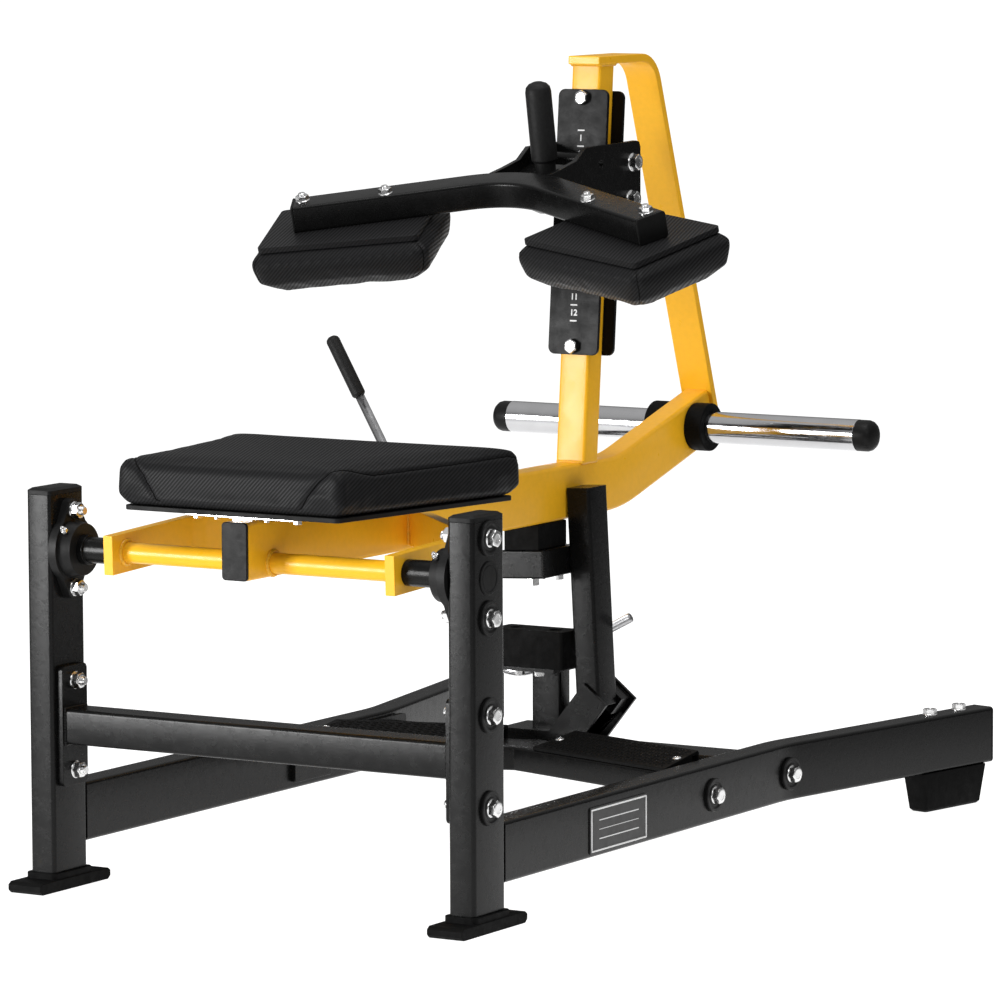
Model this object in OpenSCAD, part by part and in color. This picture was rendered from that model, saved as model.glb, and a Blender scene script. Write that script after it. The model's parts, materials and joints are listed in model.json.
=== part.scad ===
// Plate-loaded seated calf raise: black base frame, yellow pivoting arm with
// seat, thigh pad carriage on a racked post, swing-away prop with release rod.
// X right, Y to the weight horns, Z up, origin on the floor. Millimetres.

/* [Frame] */
// Height of the front uprights
upright_h = 578; // [540:1:620]
// Distance between the upright centre lines
track = 715; // [680:1:760]
// Narrow side of the main tube
tube_w = 43; // [38:1:46]
// Wide side of the main tube
tube_d = 83; // [76:1:90]
// Height of the base rails
rail_h = 88; // [84:1:96]
// Underside of the base rails above the floor
rail_z = 62; // [56:1:72]
// Outward bend of the rear half of each rail
rail_bend = 11; // [6:0.5:14]

/* [Arm] */
// Height of the arm pivot axis
axle_z = 497.5; // [480:0.5:510]
// Centre line of the spine tube
spine_z = 519; // [510:1:530]
// Rise of the rear end of the spine
spine_rise = 16; // [12:0.5:18]
// Backward lean of the post
post_lean = 5; // [3:0.5:7]
// Length of the post above the spine
post_len = 612; // [600:1:612]
// Diameter of the weight horns
horn_d = 50; // [25:1:50]
// Half length of the weight horn tube
horn_half = 316; // [300:1:330]

/* [Seat and pads] */
// Thickness of the seat cushion
seat_t = 68; // [45:1:75]
// Half width of the seat at the front edge
seat_wf = 183; // [160:1:190]
// Half width of the seat at the rear edge
seat_wr = 240; // [210:1:245]
// Length of each thigh pad
pad_l = 250; // [220:1:255]
// Width of each thigh pad
pad_w = 174; // [150:1:180]
// Thickness of the thigh pad cushion
pad_t = 68; // [45:1:70]

/* [Part] */
// Name of the one sub-part to show, or all

/* [Hidden] */

eps = 0.01;
y_mid = 686.77;            // middle of the overall length
wall = 3;                // tube wall
corner = 6;              // outside corner radius of the tubes
gap = 0.3;               // clearance between parts that move
run = 0.05;              // radial running clearance

up_x = track / 2;
in_x = up_x - tube_w / 2;      // inner face of uprights and rails
out_x = up_x + tube_w / 2;
rail_top = rail_z + rail_h;
foot_t = 17;
up_z0 = 12;

cross_z = 240;
cross_s = 52;
plate_t = 10;
bolt_cz = 65.5;                // cross plate bolts above and below cross_z

axle_y = 40.5;
axle_r = 15;
ring_r = 22;
brg_bolt = 56;                 // bearing bolts above and below the axis
brg_t = 13;
brg_deep = 31;

rail_y = tube_d;               // rails start behind the uprights
rail_l1 = 805;
rail_r = 300;
rail_l2 = 474;

beam_a = 17.3;                 // plan angle of the tread beam
beam_y = 732;                  // front edge of the tread beam on the centre line
beam_z = 140;                  // top of the tread beam
beam_h = 37;
tread_d = 100;
tread_rise = 14;
rear_y = 893.5;                // middle of the rear beam
rear_z = 131;                  // top of the rear beam

stop_x = -36;
stop_z = 241;
stop_h = 58;

spine_y0 = -22;
spine_l1 = 1002.5;
spine_r = 300;
spine_l2 = 317;
horn_y = 1257.3;
horn_z = 586.2;
collar_r = 38;
collar_x = 52;
horn_core = horn_d / 2 - 1.5;   // horn tube inside the collars and the spine

bar_x = 239;                   // centre of the straight part of the side bars
bar_t = 16;
bar_h = 57;
bar_tilt = 2.5;

post_w = 52;
post_d = 42;
post_y = 924;
post_z = spine_z + tube_d / 2;
rack_t = 6;
rack_w = 88;
rack_z0 = 164;
rack_h = 408;
plate_x = 46;                  // inner face of the carriage side plates
plate_s = 8;

strap_w = 56;
strap_t = 13;
strap_top = post_z + post_len * cos(post_lean) + strap_t;

seat_z = 577;                  // top of the seat board

arm_tilt = 17;                 // slope of the pad arm plane
arm_apex = [0, 729, 1005];
arm_b = 26.7;                  // sweep of each half of the pad arm
arm_w = 52;
arm_h = 41;
arm_rf = 139;                  // inner bend radius

prop_x = -7;                   // prop pivot axis
prop_z = 107;
prop_lean = 3;
prop_w = 41;
prop_d = 57;
prop_y0 = rear_y - tube_d / 2 - gap;   // rear face of the front swing plate
prop_y1 = rear_y + tube_d / 2 + gap;   // front face of the rear swing plate
prop_y = prop_y0 + prop_d / 2;
prop_s = 60.3;                 // foot of the prop tube
lever_r = 7.5;
lever_y = prop_y + prop_d / 2 + lever_r;

black = [0.11, 0.11, 0.115];
yellow = [0.98, 0.76, 0.18];
chrome = [0.80, 0.81, 0.83];
zinc = [0.70, 0.71, 0.72];
rubber = [0.09, 0.09, 0.09];
vinyl = [0.16, 0.16, 0.165];

$fn = 48;

// ---- outlines and tubes ----

// rounded rectangle outline, centred
function rr(w, d, r, n = 6) = [for (q = [0:3]) for (i = [0:n])
  let (a = 90 * q + 90 * i / n,
       sx = (q == 0 || q == 3) ? 1 : -1, sy = (q < 2) ? 1 : -1)
  [sx * (w / 2 - r) + r * cos(a), sy * (d / 2 - r) + r * sin(a)]];

module sect(w, d, r = corner, t = wall) difference() {
  polygon(rr(w, d, r));
  if (t > 0) polygon(rr(w - 2 * t, d - 2 * t, max(r - t, 1)));
}

// tube along +Y, w across X, d up Z
module seg(w, d, l, r = corner, t = wall)
  rotate([-90, 0, 0]) linear_extrude(l) sect(w, d, r, t);

// tube along +Y that turns towards +X
module bent(w, d, l1, rc, a, l2, r = corner, t = wall) {
  if (l1 > 0) seg(w, d, l1, r, t);
  translate([rc, l1, 0]) {
    rotate([0, 0, 180 - a]) rotate_extrude(angle = a, $fn = 180)
      translate([rc, 0]) sect(w, d, r, t);
    rotate([0, 0, -a]) translate([-rc, 0, 0]) seg(w, d, l2, r, t);
  }
}

// all nodes are written in a frame with y = 0 on the front of the uprights
module at(p = [0, 0, 0], r = [0, 0, 0])
  translate([p[0], p[1] - y_mid, p[2]]) rotate(r) children();

// disc or pin along X, from x = 0
module rodx(r, l) rotate([0, 90, 0]) cylinder(r = r, h = l);

// hexagon head along X, from x = 0, across flats af
module hexx(af, l) rotate([0, 90, 0]) cylinder(r = af / sqrt(3), h = l, $fn = 6);

// hexagon head along Z
module hexz(af, l) cylinder(r = af / sqrt(3), h = l, $fn = 6);

module mirror_x(s) mirror([s < 0 ? 1 : 0, 0, 0]) children();

// ---- base frame ----

module upright(s) color(black) at([s * up_x, tube_d / 2, up_z0])
  linear_extrude(upright_h - up_z0) sect(tube_w, tube_d);
module upright_l() upright(-1);
module upright_r() upright(1);

module upright_caps() color(rubber) for (s = [-1, 1])
  at([s * up_x, tube_d / 2, upright_h]) hull() {
    linear_extrude(6) polygon(rr(tube_w, tube_d, corner));
    translate([0, 0, 9]) linear_extrude(0.5) polygon(rr(tube_w - 11, tube_d - 11, 4));
  }

// rubber shoe, long in Y, with a raised rim round the tube
module foot_front(s) color(rubber) at([s * up_x, 0, 0]) difference() {
  union() {
    translate([-29, 0, 0]) rotate([90, 0, 90]) linear_extrude(58)
      polygon([[-40, 0], [124, 0], [130, 5], [130, foot_t - 4], [124, foot_t],
               [-40, foot_t], [-46, foot_t - 4], [-46, 5]]);
    translate([0, tube_d / 2, foot_t]) linear_extrude(9) polygon(rr(54, 96, 9));
  }
  translate([0, tube_d / 2, up_z0]) linear_extrude(40)
    polygon(rr(tube_w, tube_d, corner));
}
module foot_front_l() foot_front(-1);
module foot_front_r() foot_front(1);

module cross_front() color(black) {
  at([-(in_x - plate_t), tube_d / 2, cross_z]) rotate([0, 0, -90])
    seg(cross_s, cross_s, 2 * (in_x - plate_t), 6, wall);
  for (s = [-1, 1]) at([s * (in_x - plate_t / 2), tube_d / 2, cross_z])
    rotate([90, 0, 90]) translate([0, 0, -plate_t / 2]) linear_extrude(plate_t)
      polygon(rr(62, 176, 8));
}

// base rail, straight then bent outwards
module rail(s) color(black) at([s * up_x, rail_y, rail_z + rail_h / 2]) mirror_x(s)
  bent(tube_w, rail_h, rail_l1, rail_r, rail_bend, rail_l2);
module rail_l() rail(-1);
module rail_r() rail(1);

// frame at the rear end of a rail, +Y pointing out of the end
module rail_end(s) at([s * up_x, rail_y + rail_l1, rail_z + rail_h / 2]) mirror_x(s)
  translate([rail_r, 0, 0]) rotate([0, 0, -rail_bend])
    translate([-rail_r, rail_l2, 0]) children();

module rail_caps() color(rubber) for (s = [-1, 1]) rail_end(s)
  rotate([-90, 0, 0]) linear_extrude(5) polygon(rr(tube_w, rail_h, corner));

module foot_rear(s) color(rubber) rail_end(s) translate([0, -92, -rail_h / 2]) hull() {
  translate([0, 0, -1]) linear_extrude(1) polygon(rr(44, 158, 5));
  translate([0, 0, -rail_z + 4]) linear_extrude(1) polygon(rr(36, 138, 5));
  translate([0, 0, -rail_z]) linear_extrude(1) polygon(rr(28, 130, 4));
}
module foot_rear_l() foot_rear(-1);
module foot_rear_r() foot_rear(1);

// V-shaped flat tube across the base with a plate at each rail
module tread_beam() color(black) {
  for (s = [-1, 1]) {
    at([0, beam_y, beam_z]) mirror_x(s) difference() {
      rotate([0, 0, -90 - beam_a]) translate([-tube_d / 2, -60, -beam_h / 2])
        seg(tube_d, beam_h, 500, 5);
      translate([-200, -300, -100]) cube([200, 700, 200]);
      translate([in_x - plate_t + 2, -400, -100]) cube([300, 700, 200]);
    }
    at([s * (in_x - 4), 678, 108]) rotate([90, 0, 90])
      translate([0, 0, -4]) linear_extrude(8) polygon(rr(104, 70, 6));
  }
}

// folded tread sheet on the beam
module tread(s) color(rubber) at([0, beam_y, beam_z]) mirror_x(s)
  rotate([0, 0, -beam_a]) difference() {
    rotate([90, 0, 90]) linear_extrude(345)
      polygon([[0, 0], [0, 5], [tread_d - 3, tread_rise + 5],
               [tread_d, tread_rise + 2], [tread_d, -14], [tread_d - 4, -14],
               [tread_d - 4, tread_rise - 1], [80, 12.5], [80, 0]]);
    translate([0, 0, -20]) linear_extrude(60)
      polygon([[-10, -10], [40, -10], [44, 0], [32, tread_d + 9], [-10, tread_d + 9]]);
    rotate([0, 0, beam_a]) translate([322, -300, -20]) cube([60, 600, 60]);
  }
module tread_l() tread(-1);
module tread_r() tread(1);

module tread_screws() color(zinc) for (s = [-1, 1], p = [[53, 48], [311, 50]])
  at([0, beam_y, beam_z + 5]) mirror_x(s) rotate([0, 0, -beam_a])
    rotate([atan((tread_rise) / (tread_d - 3)), 0, 0])
      translate([p[0], p[1], 0]) cylinder(r = 7, h = 2.5);

// flat tube with a sleeve for the prop pivot and a block under the stop post
module rear_beam() color(black) difference() {
  union() {
    at([-(in_x - 8), rear_y, rear_z - tube_w / 2]) rotate([0, 0, -90])
      seg(tube_d, tube_w, 2 * (in_x - 8));
    for (s = [-1, 1]) at([s * (in_x - 4), rear_y + 3, 108])
      rotate([90, 0, 90]) translate([0, 0, -4]) linear_extrude(8)
        polygon(rr(100, 66, 6));
    at([prop_x, rear_y - tube_d / 2, prop_z]) rotate([-90, 0, 0])
      cylinder(r = 13, h = tube_d);
    at([-97, rear_y - tube_d / 2, rear_z]) cube([112, tube_d, 17]);
  }
  at([prop_x, rear_y - 50, prop_z]) rotate([-90, 0, 0])
    cylinder(r = 8 + run, h = 100);
}

// short post with the plate that carries the lower stop
module stop_post() color(black) {
  at([-27, 889.5, rear_z + 17]) linear_extrude(stop_z - rear_z - 17)
    sect(51, 32, 4, wall);
  at([stop_x - 64, 832, stop_z]) cube([112, 70, 6]);
}

module stop_block() color(rubber) at([stop_x, 860, stop_z + 6]) difference() {
  linear_extrude(stop_h) polygon(rr(126, 56, 6));
  for (x = [-35, 35]) translate([x, 0, -1]) {
    cylinder(r = 5, h = stop_h + 2);
    translate([0, 0, stop_h - 19]) cylinder(r = 10, h = 30);
  }
}

// two-bolt flange housing, opened for the inner ring
module bearing(s) color(black) at([s * in_x, axle_y, axle_z]) mirror_x(-s)
  rotate([90, 0, 90]) difference() {
    union() {
      linear_extrude(brg_t) polygon(concat(
        [for (a = [-58:8:58]) [48 * cos(a), 48 * sin(a)]],
        [for (a = [44:8:136]) [17 * cos(a), brg_bolt + 17 * sin(a)]],
        [for (a = [122:8:238]) [48 * cos(a), 48 * sin(a)]],
        [for (a = [224:8:316]) [17 * cos(a), -brg_bolt + 17 * sin(a)]]));
      translate([0, 0, brg_t - eps])
        cylinder(r1 = 42, r2 = 38, h = brg_deep - brg_t + eps);
      rotate([0, 0, 50]) translate([0, 36, 21]) rotate([-90, 0, 0])
        cylinder(r = 3.5, h = 10);
    }
    translate([0, 0, -1]) cylinder(r = ring_r + run, h = brg_deep + 2);
  }
module bearing_l() bearing(-1);
module bearing_r() bearing(1);

// cup washer with hexagon bolt, pointing +X
module cup_bolt() {
  difference() {
    rodx(25, 5);
    translate([3, 0, 0]) rodx(19, 5);
  }
  translate([3, 0, 0]) hexx(24, 12);
}

module bolts_upright() color(zinc) for (s = [-1, 1])
  at([s * out_x, 0, 0]) mirror_x(s) {
    for (z = [axle_z + brg_bolt, axle_z - brg_bolt, cross_z + bolt_cz, cross_z - bolt_cz])
      translate([0, axle_y, z]) cup_bolt();
    translate([0, axle_y, axle_z]) rodx(24, 2);
  }

module bolts_rail() color(zinc) {
  for (s = [-1, 1]) {
    at([s * out_x, 678, 104]) mirror_x(s) cup_bolt();
    at([s * (out_x + 2.16), 912, 104]) mirror_x(s) rotate([0, 0, -4.94]) cup_bolt();
    rail_end(s) for (y = [-130, -57])
      translate([0, y, rail_h / 2]) { cylinder(r = 12, h = 2); hexz(19, 10); }
  }
}

// nuts on the bearing flanges and the cross plates, bolts under the stop plate
module bolts_inner() color(zinc) for (s = [-1, 1]) {
  at([stop_x - 35 * (s + 1) / 2 + 14, 846, stop_z - 8]) hexz(13, 8);
  for (k = [-1, 1]) {
    at([s * (in_x - brg_t), axle_y, axle_z + k * brg_bolt]) mirror_x(-s) {
      rodx(13, 2); hexx(21, 13); rodx(7, 20);
    }
    at([s * (in_x - plate_t), tube_d / 2, cross_z + k * bolt_cz]) mirror_x(-s) {
      rodx(13, 2); hexx(21, 13); rodx(7, 20);
    }
  }
}

module badge_plate() color([0.2, 0.2, 0.21]) at([out_x, 396, 101.5])
  rotate([90, 0, 90]) linear_extrude(2) polygon(rr(164, 68, 4));

// ---- arm ----

module arm_spine() color(yellow) difference() {
  at([0, spine_y0, spine_z]) rotate([0, -90, 0])
    bent(tube_d, tube_w, spine_l1, spine_r, spine_rise, spine_l2);
  at([0, 0, strap_top]) strap_side(1);
  at([-30, axle_y, axle_z]) rodx(axle_r, 60);
  at([-30, horn_y, horn_z]) rodx(horn_core, 60);
}

module arm_spine_cap() color(rubber) at([0, spine_y0 - 5, spine_z])
  rotate([-90, 0, 0]) linear_extrude(5) polygon(rr(tube_w, tube_d, corner));

module arm_shaft() color([0.85, 0.66, 0.16]) at([-(in_x - 3), axle_y, axle_z])
  rodx(axle_r, 2 * (in_x - 3));

// bearing inner rings and spacer sleeves on the shaft
module arm_collars() color(black) for (s = [-1, 1])
  at([s * (bar_x + bar_t / 2), axle_y, axle_z]) mirror_x(s) difference() {
    union() {
      rodx(19, 48);
      translate([48, 0, 0]) rodx(ring_r, 34);
    }
    translate([-1, 0, 0]) rodx(axle_r, 90);
  }

// flat bar: straight from the shaft, then inwards to the spine
function bar_in(o) = let (a = 40.5, r = 46 + o, cx = bar_x - 46, cy = 205)
  [for (t = [0:5]) [cx + r * cos((90 - a) * t / 5), cy + r * sin((90 - a) * t / 5)]];
module arm_bar(s) color(yellow) difference() {
  at([0, axle_y, axle_z], [bar_tilt, 0, 0]) translate([0, -axle_y, -bar_h / 2])
    mirror_x(s) linear_extrude(bar_h) polygon(concat(
      [[bar_x - bar_t / 2, 5], [bar_x + bar_t / 2, 5]], bar_in(bar_t / 2),
      [[10, bar_in(bar_t / 2)[5][1] + (bar_in(bar_t / 2)[5][0] - 10) * tan(40.5)],
       [10, bar_in(-bar_t / 2)[5][1] + (bar_in(-bar_t / 2)[5][0] - 10) * tan(40.5)]],
      [for (i = [5:-1:0]) bar_in(-bar_t / 2)[i]]));
  at([-tube_w / 2, 300, 300]) cube([tube_w, 300, 400]);
  at([-300, axle_y, axle_z]) rodx(axle_r, 600);
}
module arm_bar_l() arm_bar(-1);
module arm_bar_r() arm_bar(1);

// frame of the post: Z along the post from the spine, Y to the rear
module on_post() at([0, post_y, post_z], [-post_lean, 0, 0]) children();

module arm_post() color(yellow) intersection() {
  on_post() translate([0, 0, -20]) linear_extrude(post_len + 40)
    sect(post_w, post_d, 5, wall);
  at([-100, 800, post_z]) cube([200, 300, strap_top - strap_t - post_z]);
}

// side outline of the strap, y against z below its top face
strap_a = 19;
function strap_arc(r) = [for (i = [0:8]) let (a = (90 - strap_a) * i / 8)
  [1082 + r * sin(a), -60 + r * cos(a)]];
function strap_foot(r) = let (p = strap_arc(r)[8], dz = -560)
  [p[0] - dz * tan(strap_a), p[1] + dz];
module strap_side(k) rotate([90, 0, 90]) translate([0, 0, -100]) linear_extrude(200)
  polygon([strap_arc(60 - strap_t)[8], [1800, strap_arc(60 - strap_t)[8][1]],
           [1800, -900], strap_foot(60 - strap_t) + [200 * tan(strap_a), -200]]);

module arm_strap() color(yellow) at([-strap_w / 2, 0, strap_top])
  rotate([90, 0, 90]) linear_extrude(strap_w) polygon(concat(
    [[948, -strap_t], [948, 0]], strap_arc(60), [strap_foot(60)],
    [strap_foot(60 - strap_t)],
    [for (i = [8:-1:0]) strap_arc(60 - strap_t)[i]]));

module rack_plate(y) on_post() translate([0, y, rack_z0 + rack_h / 2])
  rotate([90, 0, 0]) translate([0, 0, -rack_t / 2]) linear_extrude(rack_t)
    polygon(rr(rack_w, rack_h, 11));
module rack_front() color(black) rack_plate(-(post_d + rack_t) / 2);
module rack_rear() color(black) rack_plate((post_d + rack_t) / 2);

module rack_bolts() color(zinc) on_post() for (z = [rack_z0 + 13, rack_z0 + rack_h - 13])
  translate([0, -(post_d / 2 + rack_t), z]) rotate([90, 0, 0]) hexz(20, 9);

module horn_tube() color(chrome) at([0, horn_y, horn_z]) {
  translate([-collar_x, 0, 0]) rodx(horn_core, 2 * collar_x);
  for (s = [-1, 1]) mirror_x(s) translate([collar_x, 0, 0])
    rodx(horn_d / 2, horn_half - collar_x);
}

module horn_collars() color(rubber) for (s = [-1, 1])
  at([s * tube_w / 2, horn_y, horn_z]) mirror_x(s) difference() {
    rodx(collar_r, collar_x - tube_w / 2);
    translate([-1, 0, 0]) rodx(horn_core, 60);
  }

// domed plastic ends
module horn_caps() color(rubber) for (s = [-1, 1])
  at([s * horn_half, horn_y, horn_z]) mirror_x(s) rotate([0, 90, 0])
    rotate_extrude() polygon([[0, 0], [24.7, 0], [24.7, 17], [23, 22.5], [19.5, 26.5],
      [14, 29.3], [7, 30.6], [0, 31]]);

// seat outline grown by o
function seat_pts(o, r = 10) = let (y0 = -36 - 0.8 * o, y1 = 339 + o,
    wf = seat_wf + o, wr = seat_wr + o, rc = r + o / 2)
  [for (c = [[-wf + rc, y0 + rc, 180], [wf - rc, y0 + rc, 270],
             [wr - rc, y1 - rc, 0], [-wr + rc, y1 - rc, 90]])
     for (i = [0:6]) [c[0] + rc * cos(c[2] + 15 * i), c[1] + rc * sin(c[2] + 15 * i)]];

module seat_board() color(black) at([0, 0, seat_z - 7]) linear_extrude(7)
  polygon(seat_pts(0));

module seat_cushion() color(vinyl) at([0, 0, seat_z]) hull() {
  linear_extrude(1) polygon(seat_pts(-6));
  translate([0, 0, 12]) linear_extrude(seat_t - 28) polygon(seat_pts(12));
  translate([0, 0, seat_t - 6]) linear_extrude(1) polygon(seat_pts(4));
  translate([0, 0, seat_t]) linear_extrude(0.5) polygon(seat_pts(-52, 42));
}

// two flat straps under the board on blocks, with small bolts
module seat_bracket() color(zinc) {
  for (y = [-14, 210]) {
    at([-92, y, seat_z - 12]) cube([184, 40, 5]);
    at([-17, y + 8, post_z]) cube([34, 28, seat_z - 12 - post_z]);
  }
  for (p = [[-42, -6], [-30, 12], [42, -6]]) at([p[0], p[1], seat_z - 16]) hexz(8, 4);
  for (x = [-85, 85]) at([x, 8, seat_z - 18]) hexz(12, 6);
}

// ---- carriage with the thigh pads ----

// frame of the pad arm: origin on its front top edge, Z square to its plane
module on_arm() at(arm_apex, [arm_tilt, 0, 0]) children();
arm_c = [0, -arm_rf / cos(arm_b)];
arm_l = 265;

module arm_half(s) mirror_x(s) translate([0, arm_c[1] + arm_rf + arm_w / 2, -arm_h / 2])
  rotate([0, 0, -90]) bent(arm_w, arm_h, 0, arm_rf + arm_w / 2, arm_b, arm_l, 5);
module carriage_arm() color(black) on_arm() { arm_half(1); arm_half(-1); }

module arm_tip(s) mirror_x(s) translate([0, arm_c[1], -arm_h / 2])
  rotate([0, 0, -arm_b]) translate([arm_l, arm_rf + arm_w / 2, 0]) children();
module carriage_caps() color(rubber) on_arm() for (s = [-1, 1]) arm_tip(s)
  rotate([90, 0, 90]) linear_extrude(4) polygon(rr(arm_w, arm_h, 5));

module carriage_plate(s) color(black) difference() {
  at([s > 0 ? plate_x : -plate_x - plate_s, 0, 0]) rotate([90, 0, 90])
    linear_extrude(plate_s) polygon([[862, 1047.5], [1016, 1052], [1025, 1050],
      [1029, 1042], [1029, 952], [1020, 942], [905, 942], [766, 980],
      [754, 1012], [790, 1019], [834, 1029]]);
  at([-100, 908, 1020]) rodx(6, 200);
  on_arm() translate([0, arm_c[1], -100]) cylinder(r = arm_rf + arm_w, h = 200, $fn = 180);
}
module carriage_plate_l() carriage_plate(-1);
module carriage_plate_r() carriage_plate(1);

module carriage_web() color(black) on_arm() difference() {
  translate([-plate_x, 26, -30]) cube([2 * plate_x, 108, 6]);
  translate([0, arm_c[1], -50]) cylinder(r = arm_rf + arm_w, h = 100, $fn = 180);
}

module grip_axis() at([0, 833, 1012]) rotate([10, 0, 0]) children();
module carriage_grip() color(rubber) difference() {
  grip_axis() rotate_extrude() polygon([[0, -8], [16, -8], [16, 16], [18, 16],
    [20, 19], [20, 124], [18.5, 131], [14, 136], [7, 139], [0, 140]]);
  on_arm() translate([-60, 0, -84]) cube([120, 200, 60]);
}

roll_y = post_d / 2 + rack_t + gap + 11;
module on_rolls() for (y = [-roll_y, roll_y], z = [roll_z0, roll_z0 + 57])
  on_post() translate([0, y, z]) children();
roll_z0 = 407;
module carriage_rollers() color(black) on_rolls()
  translate([-plate_x, 0, 0]) rodx(11, 2 * plate_x);

module carriage_bolts() color(zinc) {
  for (z = [roll_z0, roll_z0 + 57], s = [-1, 1]) on_post() translate([0, roll_y, z])
    mirror_x(s) translate([plate_x + plate_s, 0, 0]) { rodx(14, 2); hexx(22, 13); }
  for (s = [-1, 1], x = [-65, 65]) on_pad(s) translate([x, 0, arm_h]) {
    cylinder(r = 11, h = 2);
    hexz(18, 9);
  }
}

// frame of a thigh pad: top of the board, centred
module on_pad(s) on_arm() mirror_x(s) translate([239, -96.4, -arm_h])
  rotate([0, 0, -19]) children();
module pad_board(s) color(black) on_pad(s) translate([0, 0, -9]) linear_extrude(9)
  polygon(rr(pad_l, pad_w, 8));
module pad_board_l() pad_board(-1);
module pad_board_r() pad_board(1);

module pad_cushion(s) color(vinyl) on_pad(s) hull() {
  translate([0, 0, -9.5]) linear_extrude(0.5) polygon(rr(pad_l - 2, pad_w - 2, 10));
  translate([0, 0, -34]) linear_extrude(12) polygon(rr(pad_l + 29, pad_w + 26, 20));
  translate([0, 0, -58]) linear_extrude(1) polygon(rr(pad_l + 20, pad_w + 18, 24));
  translate([0, 0, -9 - pad_t]) linear_extrude(1) polygon(rr(pad_l - 26, pad_w - 26, 26));
}
module pad_cushion_l() pad_cushion(-1);
module pad_cushion_r() pad_cushion(1);

// ---- swing-away prop and release rod ----

module on_prop() at([prop_s, prop_y, 190], [0, -prop_lean, 0]) children();
module prop_post() color(black) on_prop() {
  linear_extrude(334) sect(prop_w, prop_d, 5, wall);
  translate([0, 0, 334]) linear_extrude(4) polygon(rr(prop_w, prop_d, 5));
}

// two swing plates and a spacer behind the tube
module prop_plates() color(black) {
  for (y = [prop_y0, prop_y1 + 6]) at([prop_x, y, prop_z]) rotate([90, 0, 0]) difference() {
    linear_extrude(6) rotate([0, 0, 51.3]) union() {
      circle(r = 25.5);
      translate([0, -25.5]) square([134, 51]);
    }
    translate([0, 0, -1]) cylinder(r = 8, h = 8);
  }
  at([prop_x, prop_y1, prop_z]) rotate([90, 0, 0]) linear_extrude(prop_y1 - prop_y0 - prop_d)
    rotate([0, 0, 51.3]) translate([98, -18]) square([32, 36]);
}

rest_h = 43.5;                 // height of the bracket that carries the rubber
function rest_top(x) = 190 + (206 + rest_h) / cos(prop_lean) + (x - prop_s) * tan(prop_lean);
module prop_bracket() color(black) on_prop()
  translate([-prop_w / 2 - 78, -105, 206]) cube([78, 104, rest_h]);

module prop_rubber() color(rubber) at([0, prop_y - 105, 0]) rotate([90, 0, 0])
  translate([0, 0, -84]) linear_extrude(84)
    polygon([[-42, rest_top(-42)], [20, rest_top(20)], [20, post_z - tube_d - gap],
             [prop_x, post_z - tube_d - gap], [-42, post_z - tube_d - gap - 1.8]]);

module prop_pin() color(zinc) {
  at([prop_x, prop_y0 - 14, prop_z]) rotate([-90, 0, 0]) {
    cylinder(r = 8, h = prop_y1 - prop_y0 + 28);
    hexz(24, 8);
    translate([0, 0, prop_y1 - prop_y0 + 20]) hexz(24, 8);
  }
  on_prop() {
    translate([-47.6, -92.7, 195]) hexz(19, 11);
    translate([-30, -44.4, 199]) hexz(14, 7);
  }
}

// round rod bent once, in a plane square to Y
module rod_frame() at([99.2, lever_y, 323.9], [0, -117.8, 0]) rotate([90, 0, 0]) children();
module lever_rod() color(zinc) rod_frame() {
  rotate([-90, 0, 0]) cylinder(r = lever_r, h = 190.7);
  translate([80, 188.7, 0]) {
    // the bend swells by 0.1 mm
    rotate([0, 0, 180 - 87.8]) rotate_extrude(angle = 87.8, $fn = 96)
      translate([80, 0]) circle(r = lever_r + 0.1);
    rotate([0, 0, -87.8]) translate([-80, -2, 0]) rotate([-90, 0, 0])
      cylinder(r = lever_r, h = 438);
  }
}
module lever_grip() color(rubber) rod_frame() translate([80, 188.7, 0])
  rotate([0, 0, -87.8]) translate([-80, 436, 0]) rotate([-90, 0, 0])
    rotate_extrude() polygon([[0, 0], [9, 0], [11, 3], [11, 98], [9.5, 102],
      [5.5, 105], [0, 106]]);

upright_l();
upright_r();
upright_caps();
foot_front_l();
foot_front_r();
cross_front();
rail_l();
rail_r();
rail_caps();
foot_rear_l();
foot_rear_r();
tread_beam();
tread_l();
tread_r();
tread_screws();
rear_beam();
stop_post();
stop_block();
bearing_l();
bearing_r();
bolts_upright();
bolts_rail();
bolts_inner();
badge_plate();
arm_spine();
arm_spine_cap();
arm_shaft();
arm_collars();
arm_bar_l();
arm_bar_r();
arm_post();
arm_strap();
rack_front();
rack_rear();
rack_bolts();
horn_tube();
horn_collars();
horn_caps();
seat_board();
seat_cushion();
seat_bracket();
carriage_plate_l();
carriage_plate_r();
carriage_arm();
carriage_caps();
carriage_web();
carriage_grip();
carriage_rollers();
carriage_bolts();
pad_board_l();
pad_board_r();
pad_cushion_l();
pad_cushion_r();
prop_post();
prop_plates();
prop_bracket();
prop_rubber();
prop_pin();
lever_rod();
lever_grip();
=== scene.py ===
import json
import math

import bmesh
import bpy
import numpy as np
from mathutils import Matrix, Vector
from mathutils.bvhtree import BVHTree

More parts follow.
